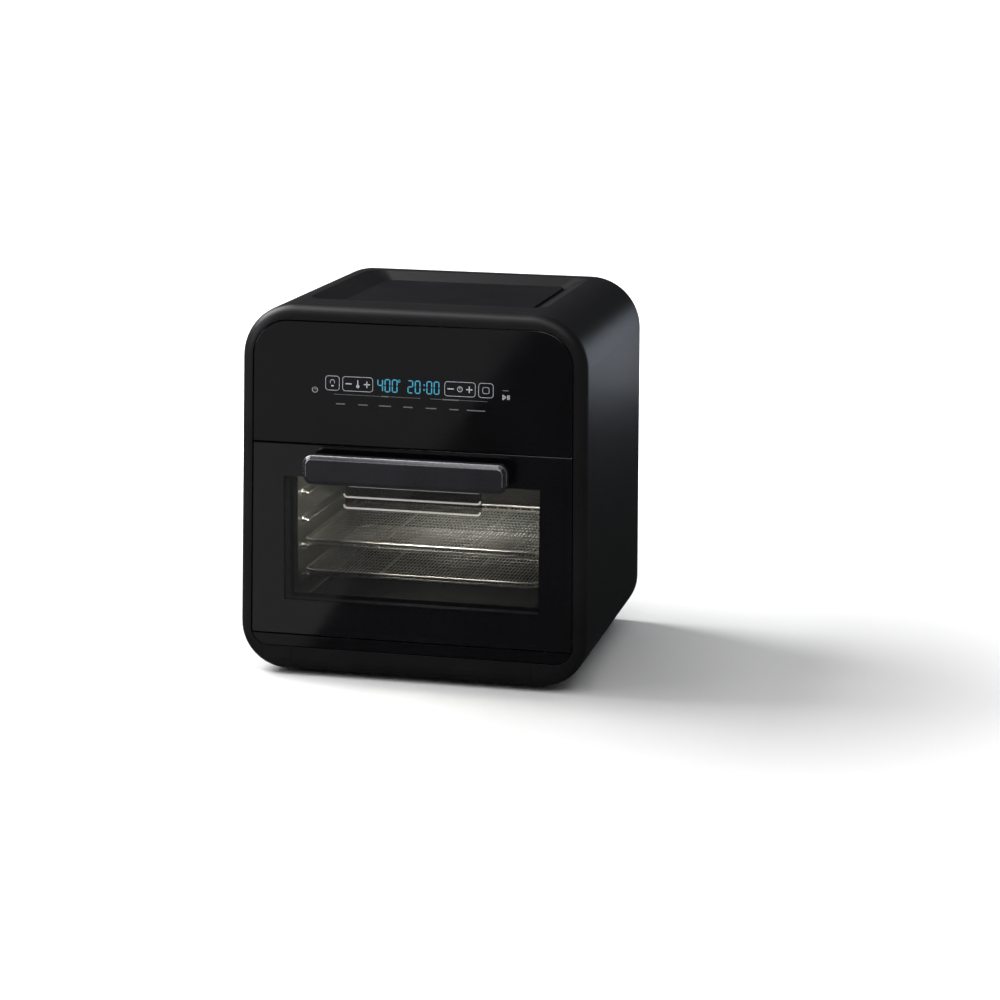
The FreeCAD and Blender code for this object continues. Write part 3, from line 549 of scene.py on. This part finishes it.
def wire_tray(node):
    """A mesh tray: a heavy rim, a lower wire joined to it by short uprights, and a mesh of two layers."""
    low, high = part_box(node)
    rim, wire, bearer, upright, bead = 0.0015, 0.0010, 0.0009, 0.0007, 0.0014
    lengthways, crossways = 0.00056, 0.00036
    corner, wire_inset, end_gap = 0.0125, 0.0008, 0.0006
    pitch, cross_pitch, upright_pitch = 0.0037, 0.0125, 0.0125
    bearer_x, bead_half = 0.045, 0.002
    x0, x1, y0, y1 = low.x + rim, high.x - rim, low.y + rim, high.y - rim
    top_z, foot_z = high.z - rim, low.z + wire
    mesh_z = foot_z + wire + lengthways
    pile = Pile()
    pile.tube(flat_loop(x0, x1, y0, y1, top_z, corner), rim, 10, closed=True)
    pile.tube(flat_loop(x0 + wire_inset, x1 - wire_inset, y0 + wire_inset, y1 - wire_inset, foot_z, corner),
              wire, 8, closed=True)

    for x in steps_between(x0, x1, pitch):
        inset = corner_inset(x, x0, x1, corner) + end_gap
        pile.tube([(x, y0 + inset, mesh_z), (x, y1 - inset, mesh_z)], lengthways, 6)
    cross_z = mesh_z - lengthways
    for y in steps_between(y0, y1, cross_pitch):
        inset = corner_inset(y, y0, y1, corner) + end_gap
        pile.tube([(x0 + inset, y, cross_z), (x1 - inset, y, cross_z)], crossways, 6)
    bearer_z = foot_z - (wire - bearer)
    for x in (-bearer_x, bearer_x):
        pile.tube([(x, y0, bearer_z), (x, y1, bearer_z)], bearer, 8)

    reach = corner - upright_pitch
    for x in steps_between(x0 + reach, x1 - reach, upright_pitch):
        for y in (y0, y1):
            pile.tube([(x, y, foot_z), (x, y, top_z)], wire, 6)
        bead_y = y0 + wire_inset
        pile.tube([(x - bead_half, bead_y, foot_z), (x + bead_half, bead_y, foot_z)], bead, 8)
    reach = corner - upright_pitch / 2
    for y in steps_between(y0 + reach, y1 - reach, upright_pitch / 2):
        for x in (x0, x1):
            pile.tube([(x, y, foot_z), (x, y, top_z)], upright, 6)
    made = piece(node + "_wires", node, "tray_wire", pile)
    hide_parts(node)


# ---------------------------------------------------------------- handle
def rounded_profile(points, radii, steps=6):
    """A line of (inset, depth) points with its inner corners rounded."""
    made = [points[0]]
    for before, at, after, radius in zip(points, points[1:], points[2:], radii):
        before, at, after = Vector(before), Vector(at), Vector(after)
        back, on = (before - at).normalized(), (after - at).normalized()
        half = back.angle(on) / 2
        reach = radius / math.tan(half)
        centre = at + (back + on).normalized() * (radius / math.sin(half))
        start, end = at + back * reach - centre, at + on * reach - centre
        for k in range(steps + 1):
            mix = start.lerp(end, k / steps).normalized() * radius
            made.append(tuple(centre + mix))
    made.append(points[-1])
    return made


def is_painted_highlight_arris(normal):
    """Whether a face of the grip is on one of the two arrises round its front, on the upper side, where a
    painted highlight goes.
    """
    lean = abs(normal.y)
    upper = normal.y < 0 and normal.z > -0.05
    return upper and (0.15 < lean < 0.62 or 0.80 < lean < 0.985)


def handle():
    """A flat bar whose front edges are cut to a narrow slope between two soft arrises."""
    low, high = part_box("handle_bar")
    depth = high.y - low.y
    corner, slope, back_slope = 0.0095, 0.0038, 0.002
    points = [(0.0075, 0.0), (slope, 0.0), (0.0, slope), (0.0, depth - back_slope), (back_slope, depth),
              (0.005, depth)]
    loops = []
    for inset, y in rounded_profile(points, (0.0018, 0.0030, 0.0008, 0.0008)):
        outline = rounded_rectangle(low.x + inset, high.x - inset, low.z + inset, high.z - inset,
                                    corner - inset, 10)
        loops.append([(x, low.y + y, z) for x, z in outline])
    pile = Pile()
    pile.loft(loops)
    made = piece("handle_grip", "door", "handle_black", pile)
    # The upper arrises get a painted highlight of bright metal.
    made.data.materials.append(HANDLE_ARRIS_HIGHLIGHT)
    for face in made.data.polygons:
        face.material_index = int(is_painted_highlight_arris(face.normal))
    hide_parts("handle_bar")


def handle_bracket():
    """Dark backing plate, and rods in front of it whose brightness is a painted highlight: two with
    turned-up ends and a thin one on top.
    """
    low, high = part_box("handle_bracket")
    plate_thick, plate_gap, side_gap, foot_gap, plate_corner = 0.0010, 0.0004, 0.0005, 0.001, 0.005
    plate = Pile()
    outline = rounded_rectangle(low.x + side_gap, high.x - side_gap, low.z + foot_gap, high.z, plate_corner)
    plate.slab(outline, high.y - plate_gap - plate_thick, high.y - plate_gap)
    made = piece("handle_backing", "door", "stainless", plate, BACKING)
    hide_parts("handle_bracket")

    rods = Pile()
    radius, bend, upper_rise = 0.0009, 0.0030, 0.0118
    turns = [math.radians(a) for a in range(0, 91, 15)]
    for z in (low.z + radius, low.z + upper_rise):
        path = []
        for side in (-1, 1):
            corner = [(side * (high.x - radius - bend + bend * math.sin(turn)),
                       low.y + radius, z + bend - bend * math.cos(turn)) for turn in turns]
            path += corner[::-1] if side < 0 else corner
        rods.tube(path, radius, 10)
    top_y, top_z = low.y + 0.001, high.z - 0.0035
    rods.tube([(low.x + 0.006, top_y, top_z), (high.x - 0.002, top_y, top_z)], 0.0004, 8)
    # The rods glow with a painted highlight, not with light of their own.
    piece("handle_backing_edges", "door", "stainless", rods, PAINTED_GLINT_EDGE)


# ---------------------------------------------------------------- screws
def solids_of(node):
    """The lowest and highest corner of each separate solid of a CAD node."""
    cad = frame["nodes"][node]
    owner = {}

    def root(key):
        while owner[key] != key:
            key = owner[key]
        return key

    keys = []
    for vertex in cad.data.vertices:
        place = cad.matrix_world @ vertex.co
        key = tuple(round(part, 6) for part in place)
        owner.setdefault(key, key)
        keys.append(key)
    for edge in cad.data.edges:
        a, b = (root(keys[i]) for i in edge.vertices)
        owner[a] = b
    groups = {}
    for key in owner:
        groups.setdefault(root(key), []).append(key)
    corners = [tuple(Vector(pick(part) for part in zip(*group)) for pick in (min, max))
               for group in groups.values()]
    return sorted(corners, key=lambda pair: tuple(pair[0]))


def screw_set(node, outward):
    """Domed screws with a cross recess, one for each solid of a CAD node. They face outward."""
    outward = Vector(outward)
    side = Vector((1, 0, 0))
    across = outward.cross(side)
    head_height, dome, shank = 0.0020, 0.0012, 0.0016
    recess_radius, recess_half, recess_depth = 0.0019, 0.00042, 0.0011
    turns = [2 * math.pi * k / 48 for k in range(48)]
    pile = Pile()
    for low, high in solids_of(node):
        head = (high.x - low.x) / 2
        length = abs((high - low).dot(outward))
        tip = (low + high) / 2 - outward * (length / 2)
        rings = [(shank, 0.0), (shank, length - head_height), (head, length - head_height)]
        radii = [head * math.cos(math.radians(a)) for a in (0, 15, 30, 42, 52)]
        radii += [recess_radius * k / 10 for k in range(10, 0, -1)]
        rings += [(r, length - dome + dome * math.sqrt(1 - (r / head) ** 2)) for r in radii]
        loops = []
        for radius, rise in rings:
            over_recess = radius < recess_radius and rise > length - dome
            loop = []
            for turn in turns:
                u, v = radius * math.cos(turn), radius * math.sin(turn)
                in_arm = over_recess and min(abs(u), abs(v)) < recess_half
                loop.append(tip + side * u + across * v + outward * (rise - recess_depth * in_arm))
            loops.append(loop)
        pile.loft(loops)
    made = piece(node + "_cross_heads", "casing", "screw_steel", pile)
    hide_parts(node)


# ---------------------------------------------------------------- stage, lights and camera
def backdrop():
    """A pale floor that curves up into a wall behind the oven."""
    front, floor, bend, height, half = -4.0, 3.0, 1.2, 3.0, 5.0
    profile = [(front, 0.0), (floor, 0.0)]
    profile += [(floor + bend * math.sin(math.radians(a)), bend - bend * math.cos(math.radians(a)))
                for a in range(10, 91, 10)]
    profile.append((floor + bend, height))
    mesh = bpy.data.meshes.new("backdrop")
    verts = [(x, y, z) for y, z in profile for x in (-half, half)]
    faces = [(2 * i, 2 * i + 1, 2 * i + 3, 2 * i + 2) for i in range(len(profile) - 1)]
    mesh.from_pydata(verts, [], faces)
    mesh.shade_smooth()
    white = finish("backdrop_white", (0.86, 0.86, 0.86), (0.83, 0.83, 0.83), (0.8, 0.95),
                   blotch=0.4, grain=60.0, bump=0.02, Specular_IOR_Level=0.1)
    # The floor's glow away from the oven is painted light.
    paint_floor_light_by_distance(white)
    mesh.materials.append(white)
    made = bpy.data.objects.new("backdrop", mesh)
    made.visible_glossy = False
    bpy.context.scene.collection.objects.link(made)


def paint_floor_light_by_distance(material):
    """Paints light onto a floor, more the farther it is from the oven, which fades the oven's shadow out
    away from it.
    """
    near, far, most = 0.45, 1.1, 0.9
    nodes, links = material.node_tree.nodes, material.node_tree.links
    where = nodes.new("ShaderNodeTexCoord")
    length = nodes.new("ShaderNodeVectorMath")
    length.operation = "LENGTH"
    links.new(where.outputs["Object"], length.inputs[0])
    spread = map_range(nodes, near, far, 0.0, most)
    spread.interpolation_type = "SMOOTHSTEP"
    links.new(length.outputs["Value"], spread.inputs["Value"])
    surface = nodes["Principled BSDF"]
    surface.inputs["Emission Color"].default_value = (1, 1, 1, 1)
    links.new(spread.outputs["Result"], surface.inputs["Emission Strength"])


def area_light(name, place, aim, size, power, colour=(1, 1, 1), roll=0.0):
    """A soft light that the camera does not see. size is in metres, power in watts, roll in degrees."""
    data = bpy.data.lights.new(name, "AREA")
    data.shape = "RECTANGLE"
    data.size, data.size_y = size
    data.energy = power
    data.color = colour
    made = bpy.data.objects.new(name, data)
    made.location = place
    made.rotation_euler = (Vector(aim) - Vector(place)).to_track_quat("-Z", "Y").to_euler()
    made.rotation_euler.rotate_axis("Z", math.radians(roll))
    made.visible_camera = False
    bpy.context.scene.collection.objects.link(made)


def studio_lights():
    """A dim studio, with the main light from the left and softer ones for the edges and the glass."""
    world = bpy.data.worlds.new("studio")
    bpy.context.scene.world = world
    world.use_nodes = True
    background = world.node_tree.nodes["Background"]
    background.inputs["Color"].default_value = (0.92, 0.95, 1.0, 1)
    background.inputs["Strength"].default_value = 0.03
    area_light("key_left", (-1.85, 0.35, 2.05), (0, 0, 0.1), (1.7, 1.7), 108)
    area_light("rim_left", (-1.8, -1.2, 0.8), (-0.1, -0.1, 0.2), (0.8, 0.8), 7)
    area_light("fill_above", (0.9, -1.6, 2.6), (0, 0, 0.1), (2.0, 1.6), 24)
    area_light("strip_top", (-0.3, -0.45, 2.25), (0, -0.17, 0.22), (1.6, 0.4), 14)
    area_light("strip_right", (0.36, 0.50, 0.29), (0.17, 0.12, 0.28), (0.2, 0.2), 0.17, (0.80, 0.88, 1.0))
    area_light("card_left", (-0.869, -2.5, -0.106), (-0.869, 0.0, -0.106), (0.7, 1.4), 0.55, roll=-33.7)


def cavity_lights():
    """Warm light from under the cavity's ceiling: a square a quarter of the way in, a strip by the door."""
    floor_low, floor_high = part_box("cavity_floor")
    lamp_y = floor_low.y + 0.25 * (floor_high.y - floor_low.y)
    area_light("cavity_lamp", (-0.01, lamp_y, CAVITY_HIGH - 0.004), (-0.02, lamp_y, CAVITY_LOW),
               (0.12, 0.12), 0.56, (1.0, 0.98, 0.88))
    front_y = floor_low.y + 0.012
    area_light("cavity_front", (0.0, front_y, CAVITY_HIGH - 0.006), (-0.01, front_y + 0.03, CAVITY_LOW),
               (0.16, 0.02), 0.42, (1.0, 0.98, 0.92))


def camera():
    """The camera stands to the right of the oven and above it, a little rolled."""
    azimuth, elevation, roll = (math.radians(degrees) for degrees in (12.21, 11.95, 0.745))
    distance, lens, sensor = 2.6196, 97.93, 36.0
    target = Vector((0.0889, FACE_Y, FOOT_HEIGHT + 0.1857))
    back = Vector((math.sin(azimuth) * math.cos(elevation), -math.cos(azimuth) * math.cos(elevation),
                   math.sin(elevation)))
    right = Vector((0, 0, 1)).cross(back).normalized()
    up = back.cross(right)
    right, up = (right * math.cos(roll) + up * math.sin(roll),
                 up * math.cos(roll) - right * math.sin(roll))
    data = bpy.data.cameras.new("camera")
    data.sensor_width = sensor
    data.lens = lens
    made = bpy.data.objects.new("camera", data)
    place = Matrix((right, up, back)).transposed().to_4x4()
    place.translation = target + back * distance
    made.matrix_world = place
    bpy.context.scene.collection.objects.link(made)
    bpy.context.scene.camera = made


dress_cad_nodes()
display_digits()
control_icons()
control_labels()
screw_set("rear_screws", (0, 1, 0))
screw_set("base_screws", (0, 0, -1))
cavity_side("cavity_left_wall")
cavity_side("cavity_right_wall")
wire_tray("upper_tray")
wire_tray("lower_tray")
handle()
handle_bracket()
backdrop()
studio_lights()
cavity_lights()
camera()
bpy.context.scene.view_settings.view_transform = "Standard"
